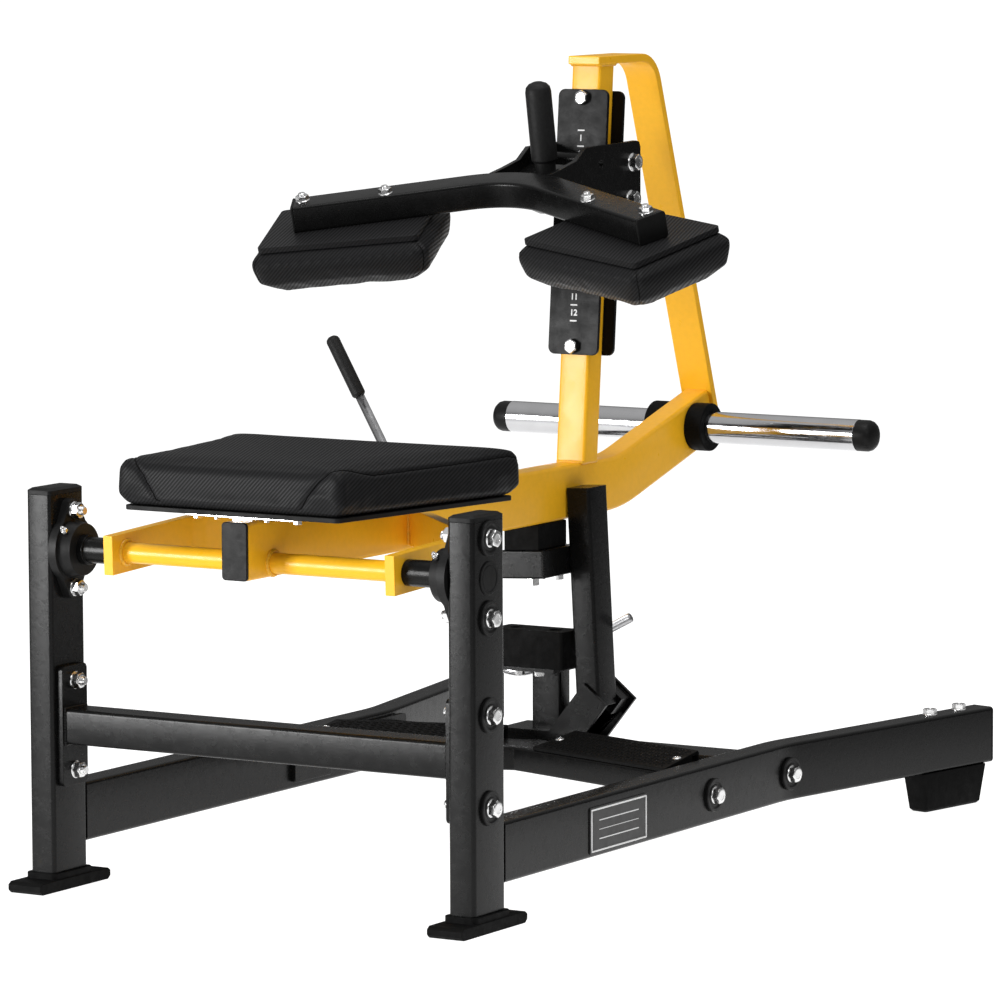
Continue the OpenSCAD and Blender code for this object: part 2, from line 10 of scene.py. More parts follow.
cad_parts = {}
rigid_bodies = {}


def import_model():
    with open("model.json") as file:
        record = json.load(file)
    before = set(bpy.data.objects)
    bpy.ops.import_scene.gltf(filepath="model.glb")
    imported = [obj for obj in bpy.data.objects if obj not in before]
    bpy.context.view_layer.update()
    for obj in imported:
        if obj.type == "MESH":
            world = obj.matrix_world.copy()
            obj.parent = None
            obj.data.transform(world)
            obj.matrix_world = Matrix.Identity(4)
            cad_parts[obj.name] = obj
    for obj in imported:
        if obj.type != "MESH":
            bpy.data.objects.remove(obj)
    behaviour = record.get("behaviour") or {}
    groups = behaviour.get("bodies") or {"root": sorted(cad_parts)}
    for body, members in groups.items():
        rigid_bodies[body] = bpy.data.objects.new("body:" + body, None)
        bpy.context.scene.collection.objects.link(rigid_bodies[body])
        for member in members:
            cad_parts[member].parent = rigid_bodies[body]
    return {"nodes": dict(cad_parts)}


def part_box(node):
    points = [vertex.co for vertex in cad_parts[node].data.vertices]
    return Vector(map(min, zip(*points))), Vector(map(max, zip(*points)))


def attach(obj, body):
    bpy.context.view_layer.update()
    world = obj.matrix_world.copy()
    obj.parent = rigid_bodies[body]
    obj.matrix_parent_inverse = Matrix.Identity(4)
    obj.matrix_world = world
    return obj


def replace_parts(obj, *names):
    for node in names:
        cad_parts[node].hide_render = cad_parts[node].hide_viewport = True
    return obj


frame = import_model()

NODES = frame["nodes"]
for o in list(bpy.data.objects):
    if o.type in ("MESH", "LIGHT", "CAMERA") and o.name not in NODES:
        bpy.data.objects.remove(o)
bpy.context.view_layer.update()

MM = 0.001
POST_LEAN = math.radians(5)      # backward lean of the post
ARM_TILT = math.radians(17)      # slope of the pad arm's plane
PAD_TURN = math.radians(19)      # turn of each thigh pad in that plane
TREAD_SWEEP = math.radians(17.3)  # plan angle of the tread beam
TREAD_RISE = math.atan2(14, 97)  # slope of the tread sheets
PROP_LEAN = math.radians(3)      # lean of the prop to the left

POST = Matrix.Rotation(-POST_LEAN, 4, "X")
ARM = Matrix.Rotation(ARM_TILT, 4, "X")


# ---------------------------------------------------------------- measuring

def points(node):
    co = np.empty(len(NODES[node].data.vertices) * 3)
    NODES[node].data.vertices.foreach_get("co", co)
    return co.reshape(-1, 3)


def span(node, turn=None):
    """Lowest and highest corner of a node along the axes of a turned frame."""
    co = points(node)
    if turn is not None:
        co = co @ np.array(turn.to_3x3())
    return Vector(co.min(0)), Vector(co.max(0))


def islands(node):
    """The separate solids of a node, each as an array of points."""
    bm = bmesh.new()
    bm.from_mesh(NODES[node].data)
    bmesh.ops.remove_doubles(bm, verts=bm.verts, dist=1e-5)
    seen, out = set(), []
    for start in bm.verts:
        if start in seen:
            continue
        seen.add(start)
        todo, group = [start], []
        while todo:
            v = todo.pop()
            group.append(v.co[:])
            for e in v.link_edges:
                w = e.other_vert(v)
                if w not in seen:
                    seen.add(w)
                    todo.append(w)
        out.append(np.array(group))
    bm.free()
    return out


def aim(origin, axis):
    """Matrix whose Z runs along axis, from origin."""
    z = Vector(axis).normalized()
    ref = Vector((0, 0, 1)) if abs(z.z) < 0.9 else Vector((0, 1, 0))
    x = ref.cross(z).normalized()
    y = z.cross(x)
    m = Matrix((x, y, z)).transposed().to_4x4()
    m.translation = Vector(origin)
    return m


# ---------------------------------------------------------------- materials

def material(name, color, rough, metal=0.0, spec=0.5, coat=0.0, coat_rough=0.1, sheen=0.0):
    m = bpy.data.materials.new(name)
    m.use_nodes = True
    b = m.node_tree.nodes["Principled BSDF"]
    b.inputs["Base Color"].default_value = (*color, 1)
    b.inputs["Roughness"].default_value = rough
    b.inputs["Metallic"].default_value = metal
    b.inputs["Specular IOR Level"].default_value = spec
    b.inputs["Coat Weight"].default_value = coat
    b.inputs["Coat Roughness"].default_value = coat_rough
    b.inputs["Sheen Weight"].default_value = sheen
    return m, m.node_tree, b


def coords(nt, scale=(1, 1, 1), turn=(0, 0, 0)):
    tc = nt.nodes.new("ShaderNodeTexCoord")
    mp = nt.nodes.new("ShaderNodeMapping")
    mp.inputs["Scale"].default_value = scale
    mp.inputs["Rotation"].default_value = turn
    nt.links.new(tc.outputs["Object"], mp.inputs["Vector"])
    return mp.outputs["Vector"]


def noise(nt, vec, scale, detail=3.0, rough=0.55):
    n = nt.nodes.new("ShaderNodeTexNoise")
    n.inputs["Scale"].default_value = scale
    n.inputs["Detail"].default_value = detail
    n.inputs["Roughness"].default_value = rough
    nt.links.new(vec, n.inputs["Vector"])
    return n.outputs["Fac"]


def ramp(nt, fac, stops):
    r = nt.nodes.new("ShaderNodeValToRGB")
    el = r.color_ramp.elements
    while len(el) < len(stops):
        el.new(0.5)
    for e, (p, c) in zip(el, stops):
        e.position = p
        e.color = (*c, 1) if len(c) == 3 else c
    nt.links.new(fac, r.inputs["Fac"])
    return r.outputs["Color"]


def sums(nt, kind, operation, *values):
    """Result of a maths node whose inputs are sockets or plain values."""
    n = nt.nodes.new("ShaderNode" + kind)
    n.operation = operation
    for socket, value in zip(n.inputs, values):
        if isinstance(value, bpy.types.NodeSocket):
            nt.links.new(value, socket)
        else:
            socket.default_value = value
    return n.outputs["Value"]


def bump(nt, b, height, strength, dist, chain=None):
    n = nt.nodes.new("ShaderNodeBump")
    n.inputs["Strength"].default_value = strength
    n.inputs["Distance"].default_value = dist
    nt.links.new(height, n.inputs["Height"])
    if chain is not None:
        nt.links.new(chain, n.inputs["Normal"])
    nt.links.new(n.outputs["Normal"], b.inputs["Normal"])
    return n.outputs["Normal"]


def grey(v):
    return (v, v, v)


def coated(name, color, rough, grain, spec=0.5, coat=0.0, vary=0.12, bumpiness=0.25):
    """Painted, powder coated or moulded surface: orange peel, speckle and uneven gloss."""
    m, nt, b = material(name, color, rough, spec=spec, coat=coat)
    v = coords(nt)
    lo = tuple(c * (1 - vary) for c in color)
    hi = tuple(min(1, c * (1 + vary)) for c in color)
    nt.links.new(ramp(nt, noise(nt, v, grain * 0.15, 4), [(0.3, lo), (0.7, hi)]),
                 b.inputs["Base Color"])
    nt.links.new(ramp(nt, noise(nt, v, grain * 0.06, 5),
                      [(0.3, grey(rough * 0.82)), (0.7, grey(min(1, rough * 1.18)))]),
                 b.inputs["Roughness"])
    first = bump(nt, b, noise(nt, v, grain, 2), bumpiness, 0.0003)
    bump(nt, b, noise(nt, v, grain * 0.12, 2), bumpiness * 0.5, 0.001, first)
    return m


def brushed(name, color, rough, scale, spec=0.5, strength=0.08, along=(1, 1, 1)):
    """Plated metal: fine lines, cloudy roughness."""
    m, nt, b = material(name, color, rough, metal=1.0, spec=spec)
    v = coords(nt)
    lines = noise(nt, coords(nt, along), scale, 3)
    nt.links.new(ramp(nt, noise(nt, v, 60, 4),
                      [(0.3, grey(rough * 0.7)), (0.75, grey(rough * 1.5))]),
                 b.inputs["Roughness"])
    nt.links.new(ramp(nt, noise(nt, v, 25, 4),
                      [(0.3, tuple(c * 0.93 for c in color)), (0.7, color)]),
                 b.inputs["Base Color"])
    bump(nt, b, lines, strength, 0.0002)
    return m


RIB_PITCH = 6.2 * MM


def vinyl_material():
    """Black upholstery vinyl with fine slanting twill ribs."""
    m, nt, b = material("vinyl_twill", (0.008, 0.008, 0.0085), 0.5, spec=0.12, sheen=0.012)
    tc = nt.nodes.new("ShaderNodeTexCoord")
    rib = 2 * math.pi / RIB_PITCH
    phase = sums(nt, "VectorMath", "DOT_PRODUCT", tc.outputs["Object"], (rib, 0.46 * rib, -rib))
    warped = sums(nt, "Math", "MULTIPLY_ADD", noise(nt, tc.outputs["Object"], 30, 2), 0.9, phase)
    wave = sums(nt, "Math", "SINE", warped)
    ribs = sums(nt, "Math", "MULTIPLY_ADD", wave, 0.5, 0.5)
    nt.links.new(ramp(nt, ribs, [(0.15, grey(0.003)), (0.75, (0.012, 0.012, 0.013))]),
                 b.inputs["Base Color"])
    nt.links.new(ramp(nt, ribs, [(0.1, grey(0.62)), (0.9, grey(0.42))]), b.inputs["Roughness"])
    weave = nt.nodes.new("ShaderNodeTexWave")
    weave.bands_direction = "Z"
    weave.inputs["Scale"].default_value = 260
    weave.inputs["Distortion"].default_value = 0.6
    nt.links.new(tc.outputs["Object"], weave.inputs["Vector"])
    first = bump(nt, b, ribs, 0.35, 0.0006)
    second = bump(nt, b, weave.outputs["Fac"], 0.08, 0.0003, first)
    bump(nt, b, noise(nt, tc.outputs["Object"], 900, 2), 0.15, 0.0002, second)
    return m


YELLOW = (0.92, 0.47, 0.016)
PAINT = coated("frame_powder", grey(0.004), 0.26, 900, spec=0.17, vary=0.1)
RACK = coated("rack_powder", grey(0.004), 0.34, 900, spec=0.08, vary=0.1)
YPAINT = coated("arm_powder", YELLOW, 0.33, 800, spec=0.26, coat=0.08, vary=0.03,
                bumpiness=0.16)
YWELD = coated("arm_weld", (0.86, 0.44, 0.018), 0.36, 1400, spec=0.4, vary=0.1, bumpiness=0.5)
RUBBER = coated("rubber", grey(0.004), 0.62, 1300, spec=0.06, vary=0.2, bumpiness=0.5)
PLASTIC = coated("cap_plastic", grey(0.006), 0.42, 1100, spec=0.14, vary=0.15, bumpiness=0.35)
GRIPMAT = coated("grip_rubber", grey(0.010), 0.5, 1600, spec=0.16, vary=0.2, bumpiness=0.7)
TREAD = coated("tread_rubber", grey(0.004), 0.6, 1000, spec=0.08, vary=0.25, bumpiness=0.6)
CAST = coated("bearing_casting", grey(0.007), 0.45, 500, spec=0.2, vary=0.2, bumpiness=0.8)
WASHER = coated("cup_washer", grey(0.006), 0.36, 900, spec=0.17, vary=0.15)
BOARD = coated("board_edge", grey(0.006), 0.6, 500, spec=0.2, vary=0.2)
BADGE = coated("badge_field", grey(0.012), 0.35, 1500, spec=0.4)
# darker and more matte than the vinyl: painted shade for the creases along the seams
SEAM_SHADE = coated("seam_shadow", grey(0.003), 0.8, 2000, spec=0.1)
WHITE = coated("scale_mark", grey(0.80), 0.5, 1500, spec=0.3, vary=0.04)
CHROME = brushed("horn_chrome", (0.60, 0.60, 0.61), 0.13, 300, strength=0.02, along=(0.05, 1, 1))
ZINC = brushed("bright_zinc", (0.80, 0.80, 0.80), 0.22, 900, strength=0.15)
ROD = brushed("rod_steel", (0.62, 0.62, 0.63), 0.28, 500, strength=0.12)
VINYL = vinyl_material()

WELD_GAP = 0.02 * MM
CAD_LOOK = {
    YPAINT: ["arm_spine", "arm_shaft", "arm_bar_l", "arm_bar_r", "arm_post", "arm_strap"],
    CHROME: ["horn_tube"],
    RUBBER: ["foot_front_l", "foot_front_r", "foot_rear_l", "foot_rear_r", "stop_block",
             "prop_rubber", "horn_collars"],
    PLASTIC: ["upright_caps", "rail_caps", "arm_spine_cap", "horn_caps", "carriage_caps"],
    GRIPMAT: ["carriage_grip", "lever_grip"],
    TREAD: ["tread_l", "tread_r"],
    CAST: ["bearing_l", "bearing_r"],
    BOARD: ["seat_board"],
    BADGE: ["badge_plate"],
    ROD: ["lever_rod"],
    RACK: ["rack_front", "rack_rear"],
    ZINC: ["bolts_upright", "bolts_rail", "bolts_inner", "rack_bolts", "carriage_bolts",
           "tread_screws", "prop_pin", "seat_bracket"],
    VINYL: ["seat_cushion", "pad_cushion_l", "pad_cushion_r", "pad_board_l", "pad_board_r"],
}
LOOK = {n: m for m, names in CAD_LOOK.items() for n in names}
USUAL_ROUND = 0.8      # edge rounding in millimetres, and where it differs
ROUND = {"horn_tube": 0.3, "arm_spine": 1.0, "lever_rod": 0, "seat_board": 1.2,
         "stop_block": 2.5, "prop_rubber": 2.0, "foot_front_l": 1.5, "foot_front_r": 1.5,
         "foot_rear_l": 2.5, "foot_rear_r": 2.5, "arm_strap": 1.8, "arm_bar_l": 1.5,
         "arm_bar_r": 1.5, "prop_bracket": 3.0, "arm_spine_cap": 1.6, "upright_caps": 1.6,
         "rail_caps": 1.6, "carriage_caps": 1.4, "horn_collars": 2.5, "bearing_l": 1.6,
         "bearing_r": 1.6, "horn_caps": 0.6}

for name, o in NODES.items():
    o.data.materials.clear()
    o.data.materials.append(LOOK.get(name, PAINT))
    normals = o.data.attributes.get("custom_normal")
    if normals:
        o.data.attributes.remove(normals)
    for att in ("sharp_face", "sharp_edge"):
        a = o.data.attributes.get(att)
        if a:
            o.data.attributes.remove(a)
    o.data.polygons.foreach_set("use_smooth", [True] * len(o.data.polygons))
    # welded and cleared of flat triangulation, so that only true edges are rounded
    weld = o.modifiers.new("join", "WELD")
    weld.merge_threshold = WELD_GAP
    flat = o.modifiers.new("flat", "DECIMATE")
    flat.decimate_type = "DISSOLVE"
    flat.angle_limit = math.radians(0.4)
    width = ROUND.get(name, USUAL_ROUND)
    if width:
        bev = o.modifiers.new("edges", "BEVEL")
        bev.width = width * MM
        bev.segments = 3
        bev.limit_method = "ANGLE"
        bev.angle_limit = math.radians(32)
        bev.use_clamp_overlap = True
        bev.harden_normals = True
        bev.miter_outer = "MITER_ARC"


# ---------------------------------------------------------------- mesh building

class Build:
    """Collects turned and swept shapes into one mesh."""

    def __init__(self):
        self.v, self.f = [], []

    def add(self, verts, faces, at=None):
        n = len(self.v)
        self.v += [tuple(at @ Vector(p)) if at is not None else tuple(p) for p in verts]
        self.f += [tuple(i + n for i in f) for f in faces]

    def lathe(self, profile, at, seg=40, shape=None):
        """Turns (radius, height) pairs in mm about Z; shape(angle, radius, height) may cut them."""
        verts, faces, rings = [], [], []
        for r, z in profile:
            ring = []
            for i in range(seg):
                a = 2 * math.pi * i / seg
                rr = shape(a, r, z) if shape else r
                verts.append((rr * MM * math.cos(a), rr * MM * math.sin(a), z * MM))
                ring.append(len(verts) - 1)
            rings.append(ring)
        for a, b in zip(rings, rings[1:]):
            for i in range(seg):
                j = (i + 1) % seg
                faces.append((a[i], a[j], b[j], b[i]))
        faces.append(tuple(reversed(rings[0])))
        faces.append(tuple(rings[-1]))
        self.add(verts, faces, at)

    def hexhead(self, at, af, h):
        """Hexagon head with the top corners turned off."""
        ap = af / 2

        def cut(a, r, z):
            t = (a + math.pi / 6) % (math.pi / 3) - math.pi / 6
            return min(r, ap / math.cos(t), ap * 0.96 + (h - z) * 1.8)
        far = ap * 1.2
        self.lathe([(far, 0), (far, h * 0.3), (far, h - 2.2), (far, h - 1.5), (far, h - 0.9),
                    (far, h - 0.4), (ap * 0.94, h), (ap * 0.62, h), (ap * 0.58, h - 0.4),
                    (ap * 0.2, h - 0.5)], at, 48, cut)

    def bolt(self, at, af, h, flange=0, stud=0):
        if flange:
            self.lathe([(flange, 0), (flange, 1.2), (flange - 0.8, 2), (1, 2)], at, 36)
            at = at @ Matrix.Translation((0, 0, 1.9 * MM))
        self.hexhead(at, af, h)
        if stud:
            r = af * 0.31
            rings = [(r, h - 1)]
            for i in range(int(stud / 1.25)):
                z = h + i * 1.25
                rings += [(r, z), (r - 0.5, z + 0.6)]
            rings += [(r - 0.2, h + stud), (r - 1.2, h + stud + 1), (0.5, h + stud + 1)]
            self.lathe(rings, at, 24)

    def tube(self, path, radius, seg=10, flat=1.0, ripple=0.0, pitch=4.5, closed=False):
        """Round bar along a path in metres; ripple gives the scales of a weld."""
        pts = [Vector(p) for p in path]
        n = len(pts)
        run = [0.0]
        for a, b in zip(pts, pts[1:]):
            run.append(run[-1] + (b - a).length)
        verts, faces, side = [], [], None
        for i, p in enumerate(pts):
            a = pts[i - 1] if (i or closed) else pts[i]
            b = pts[(i + 1) % n] if (i < n - 1 or closed) else pts[i]
            t = (b - a).normalized()
            if side is None:
                side = t.cross(Vector((0.31, 0.47, 0.83))).normalized()
            side = (side - t * side.dot(t)).normalized()
            up = t.cross(side)
            r = radius * MM
            if ripple:
                ph = (run[i] / MM / pitch) % 1.0
                r *= 1 + ripple * (math.sqrt(max(0, 1 - (2 * ph - 1) ** 2)) - 0.6)
            if not closed and i in (0, n - 1):
                r *= 0.35
            for k in range(seg):
                c = 2 * math.pi * k / seg
                verts.append(p + side * (r * math.cos(c)) + up * (r * flat * math.sin(c)))
        last = n if closed else n - 1
        for i in range(last):
            for k in range(seg):
                a, b = i * seg, ((i + 1) % n) * seg
                faces.append((a + k, a + (k + 1) % seg, b + (k + 1) % seg, b + k))
        if not closed:
            faces.append(tuple(reversed(range(seg))))
            faces.append(tuple((n - 1) * seg + k for k in range(seg)))
        self.add(verts, faces)

    def weld(self, corners, radius, closed=False):
        """A weld bead along straight runs between corners."""
        path = []
        loop = list(corners) + ([corners[0]] if closed else [])
        for a, b in zip(loop, loop[1:]):
            a, b = Vector(a), Vector(b)
            steps = max(2, int((b - a).length / 0.0011))
            path += [a.lerp(b, i / steps) for i in range(steps)]
        if not closed:
            path.append(Vector(loop[-1]))
        self.tube(path, radius, 10, 0.85, 0.28, 4.2, closed)

    def block(self, size, at, r=1.0, top_inset=0.0):
        """Rounded block, in mm, base at z 0, drawn in at the top."""
        w, d, h = size
        verts, faces, rings = [], [], []
        for z, o in ((0, 0), (h * 0.6, top_inset * 0.45), (h, top_inset)):
            ring = []
            for q, (sx, sy) in enumerate(((1, 1), (-1, 1), (-1, -1), (1, -1))):
                for i in range(4):
                    a = math.pi / 2 * (q + i / 3)
                    ring.append(len(verts))
                    verts.append(((sx * (w / 2 - r - o) + r * math.cos(a)) * MM,
                                  (sy * (d / 2 - r - o) + r * math.sin(a)) * MM, z * MM))
            rings.append(ring)
        for a, b in zip(rings, rings[1:]):
            for i in range(16):
                j = (i + 1) % 16
                faces.append((a[i], a[j], b[j], b[i]))
        faces.append(tuple(reversed(rings[0])))
        faces.append(tuple(rings[-1]))
        self.add(verts, faces, at)

    def done(self, name, mat, body, slot, angle=35):
        me = bpy.data.meshes.new(name)
        me.from_pydata(self.v, [], self.f)
        me.materials.append(mat)
        return finish_mesh(name, me, body, angle)


def finish_mesh(name, me, body, angle=35):
    me.update()
    bm = bmesh.new()
    bm.from_mesh(me)
    bmesh.ops.recalc_face_normals(bm, faces=bm.faces)
    bm.to_mesh(me)
    bm.free()
    me.polygons.foreach_set("use_smooth", [True] * len(me.polygons))
    me.set_sharp_from_angle(angle=math.radians(angle))
    o = bpy.data.objects.new(name, me)
    bpy.context.scene.collection.objects.link(o)
    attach(o, body)
    return o


# ---------------------------------------------------------------- fasteners

# black cup washers with bright bolts on the outside of the frame
CUP = [(25, 0), (25, 3.6), (24, 5), (20.5, 5), (19, 3.2), (16.5, 3.0), (15.5, 3.6), (14, 3.6),
       (13, 3), (2, 3)]
washers, heads, plugs = Build(), Build(), Build()
for node in ("bolts_upright", "bolts_rail"):
    for pts in islands(node):
        lo, hi = Vector(pts.min(0)), Vector(pts.max(0))
        mid = (lo + hi) / 2
        if hi.z - lo.z < 0.02 and hi.x - lo.x < 0.03:       # bolt standing on a rail
            at = Matrix.Translation((mid.x, mid.y, lo.z))
            heads.bolt(at, 19, hi.z / MM - lo.z / MM - 2, 12)
            continue
        side = 1 if mid.x > 0 else -1
        spread = np.linalg.eigh(np.cov((pts - pts.mean(0)).T))
        axis = Vector(spread[1][:, 0])
        if axis.x * side < 0:
            axis.negate()
        along = (pts - np.array(mid)) @ np.array(axis)
        base = mid + axis * float(along.min())
        if hi.x - lo.x < 0.004:                             # blank plug
            plugs.lathe([(24, 0), (24, 1.2), (23, 2), (19.5, 2), (19, 1.2), (18, 1.2), (17.4, 1.9),
                         (1, 2)], aim(base, axis), 48)
            continue
        at = aim(base, axis)
        washers.lathe(CUP, at, 56)
        turn = Matrix.Rotation(0.37 * (mid.z * 17 % 6), 4, "Z")
        heads.bolt(at @ Matrix.Translation((0, 0, 2.9 * MM)) @ turn, 22, 10, 13)
cups = washers.done("frame_cup_washers", WASHER, "frame", "washer")
heads.done("frame_bolt_heads", ZINC, "frame", "zinc")
plugs.done("frame_blank_plugs", PLASTIC, "frame", "plastic")
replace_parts(cups, "bolts_upright", "bolts_rail")

nuts = Build()
for pts in islands("bolts_inner"):
    lo, hi = Vector(pts.min(0)), Vector(pts.max(0))
    mid = (lo + hi) / 2
    if abs(mid.x) < 0.1:                                    # under the stop plate
        nuts.hexhead(aim((mid.x, mid.y, hi.z), (0, 0, -1)), 13, 8)
        continue
    side = -1 if mid.x > 0 else 1
    at = aim((lo.x if side > 0 else hi.x, mid.y, mid.z), (side, 0, 0))
    nuts.bolt(at @ Matrix.Rotation(mid.z * 9, 4, "Z"), 21, 10.5, 13, 6)
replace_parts(nuts.done("frame_nuts", ZINC, "frame", "zinc"), "bolts_inner")

rack = Build()
for pts in islands("rack_bolts"):
    loc = pts @ np.array(POST.to_3x3())
    lo, hi = loc.min(0), loc.max(0)
    base = POST @ Vector(((lo[0] + hi[0]) / 2, hi[1], (lo[2] + hi[2]) / 2))
    axis = POST @ Vector((0, -1, 0))
    rack.bolt(aim(base, axis), 20, 9)
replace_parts(rack.done("rack_bolt_heads", ZINC, "arm", "zinc"), "rack_bolts")

# pan head with a recess
SCREW = [(7, 0), (7, 0.9), (6.2, 1.9), (4.6, 2.6), (3.2, 2.8), (3.0, 1.6), (0.5, 1.6)]
screws = Build()
for pts in islands("tread_screws"):
    mid = Vector((pts.min(0) + pts.max(0)) / 2)
    side = 1 if mid.x > 0 else -1
    tilt = Matrix.Rotation(-side * TREAD_SWEEP, 4, "Z") @ Matrix.Rotation(TREAD_RISE, 4, "X")
    at = Matrix.Translation(mid) @ tilt @ Matrix.Translation((0, 0, -1.25 * MM))
    screws.lathe(SCREW, at, 32)
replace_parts(screws.done("tread_screw_heads", ZINC, "frame", "zinc"), "tread_screws")

# carriage: roller bolts on the side plates, pad bolts on the arm
cb = Build()
for pts in islands("carriage_bolts"):
    lo, hi = Vector(pts.min(0)), Vector(pts.max(0))
    mid = (lo + hi) / 2
    if abs(mid.x) < 0.08 and (hi.y - lo.y) > (hi.x - lo.x):
        side = 1 if mid.x > 0 else -1
        at = aim((lo.x if side > 0 else hi.x, mid.y, mid.z), (side, 0, 0))
        cb.bolt(at, 22, 11, 14)
    else:
        loc = pts @ np.array(ARM.to_3x3())
        lo, hi = loc.min(0), loc.max(0)
        base = ARM @ Vector(((lo[0] + hi[0]) / 2, (lo[1] + hi[1]) / 2, lo[2]))
        cb.bolt(aim(base, ARM @ Vector((0, 0, 1))), 18, 7, 11, 3)
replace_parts(cb.done("carriage_bolt_heads", ZINC, "carriage", "zinc"), "carriage_bolts")

# grease nipples on the bearings
nip = Build()
for n in ("bearing_l", "bearing_r"):
    lo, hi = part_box(n)
    side = 1 if n.endswith("r") else -1
    inner = side * (abs(hi.x if side > 0 else lo.x) - 21 * MM)
    axle_z = (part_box("arm_shaft")[0].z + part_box("arm_shaft")[1].z) / 2
    axle_y = (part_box("arm_shaft")[0].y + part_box("arm_shaft")[1].y) / 2
    out = Vector((0, -math.sin(math.radians(50)), math.cos(math.radians(50))))
    at = aim(Vector((inner, axle_y, axle_z)) + out * 45.5 * MM, out)
    nip.hexhead(at, 9, 5)
    nip.lathe([(2.6, 4), (2.6, 6), (1.8, 7), (3.0, 9), (3.0, 10), (1.6, 11.4), (0.4, 11.5)], at, 20)
nip.done("bearing_nipples", ZINC, "frame", "zinc")


# ---------------------------------------------------------------- welds

BEAD = 3.6             # radius of a bead in millimetres
BAR_THICK = 16 * MM
yw = Build()
half = (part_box("arm_spine_cap")[1].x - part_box("arm_spine_cap")[0].x) / 2
shaft_lo, shaft_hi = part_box("arm_shaft")
axle = (shaft_lo + shaft_hi) / 2
shaft_r = (shaft_hi.z - shaft_lo.z) / 2


def ring(centre, axis, radius, steps=90):
    m = aim(centre, axis)
    return [m @ Vector((radius * math.cos(2 * math.pi * i / steps),
                        radius * math.sin(2 * math.pi * i / steps), 0)) for i in range(steps)]


def round_shaft(x):
    """The bead round the shaft where it meets a face square to X."""
    yw.tube(ring((x, axle.y, axle.z), (1, 0, 0), shaft_r + 1.5 * MM), BEAD, 10, 1, 0.25, 5.0,
            True)


for s in (-1, 1):
    round_shaft(s * half)
    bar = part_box("arm_bar_r" if s > 0 else "arm_bar_l")
    round_shaft(s * (max(abs(bar[0].x), abs(bar[1].x)) - BAR_THICK))
    # the bar meets the spine along two upright beads
    co = points("arm_bar_r" if s > 0 else "arm_bar_l")
    near = co[np.abs(np.abs(co[:, 0]) - half) < 1.5 * MM]
    for pick in (near[:, 1].min(), near[:, 1].max()):
        edge = near[np.abs(near[:, 1] - pick) < 6 * MM]
        yw.weld([(s * half, pick, edge[:, 2].min()), (s * half, pick, edge[:, 2].max())], 3.4)

# post base, strap under the post top
plo, phi = span("arm_post", POST)
pf, pb = plo.y, phi.y
foot_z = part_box("arm_post")[0].z


def on_post_plane(x, y, z):
    """Point of the post's side line through local y at world height z."""
    zl = (z + y * math.sin(POST_LEAN)) / math.cos(POST_LEAN)
    return POST @ Vector((x, y, zl))


px = phi.x
for z, hx in ((foot_z, min(px, half)), (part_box("arm_post")[1].z, px)):
    yw.weld([on_post_plane(-hx, pf, z), on_post_plane(hx, pf, z), on_post_plane(hx, pb, z),
             on_post_plane(-hx, pb, z)], 3.2, True)
yw.done("arm_weld_beads", YWELD, "arm", "arm_paint", 60)

bw = Build()
clo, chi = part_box("cross_front")
plate = 10 * MM
for s in (-1, 1):
    x = s * (chi.x - plate)
    cz, cy, k = (clo.z + chi.z) / 2, (clo.y + chi.y) / 2, 26 * MM
    bw.weld([(x, cy - k, cz - k), (x, cy + k, cz - k), (x, cy + k, cz + k), (x, cy - k, cz + k)],
            3, True)
bw.done("frame_weld_beads", PAINT, "frame", "frame_paint", 60)

prop_turn = Matrix.Rotation(-PROP_LEAN, 4, "Y")
pw = Build()
blo, bhi = span("prop_bracket", prop_turn)
for y in (blo.y, bhi.y):
    pw.weld([prop_turn @ Vector((bhi.x, y, blo.z)), prop_turn @ Vector((bhi.x, y, bhi.z))], 3.0)
pw.done("prop_weld_beads", PAINT, "prop", "frame_paint", 60)


# ---------------------------------------------------------------- scale on the front rack plate

rlo, rhi = span("rack_front", POST)


def label(text, height, centre, name):
    cu = bpy.data.curves.new(name, "FONT")
    cu.body = text
    cu.size = height * 1.4
    cu.align_x = "CENTER"
    cu.align_y = "CENTER"
    cu.extrude = 0.00006
    cu.offset = 0.00035
    ob = bpy.data.objects.new(name, cu)
    bpy.context.scene.collection.objects.link(ob)
    bpy.context.view_layer.update()
    me = bpy.data.meshes.new_from_object(ob.evaluated_get(
        bpy.context.evaluated_depsgraph_get()))
    bpy.data.objects.remove(ob)
    me.transform(POST @ Matrix.Translation(centre) @ Matrix.Rotation(math.pi / 2, 4, "X"))
    return me


NUMBERS = 12
DIGIT = 9.5 * MM
marks = bmesh.new()
first, pitch = rhi.z - 75.4 * MM, 24.4 * MM
face = rlo.y - 0.02 * MM
for i in range(NUMBERS):
    z = first - i * pitch
    me = label(str(i + 1), DIGIT, (-1 * MM, face, z), "mark")
    marks.from_mesh(me)
    bpy.data.meshes.remove(me)
    dash = Build()
    for up in ([0.5, -0.5] if i == NUMBERS - 1 else [0.5]):
        dash.block((12, 2.2, 0.12), POST @ Matrix.Translation((-1 * MM, face, z + up * pitch))
                   @ Matrix.Rotation(math.pi / 2, 4, "X"), 0.4)
    tmp = bpy.data.meshes.new("dash")
    tmp.from_pydata(dash.v, [], dash.f)
    marks.from_mesh(tmp)
    bpy.data.meshes.remove(tmp)
me = bpy.data.meshes.new("rack_scale")
marks.to_mesh(me)
marks.free()
me.materials.clear()
me.materials.append(WHITE)
for poly in me.polygons:
    poly.material_index = 0
finish_mesh("rack_scale", me, "arm", 20)


# ---------------------------------------------------------------- badge

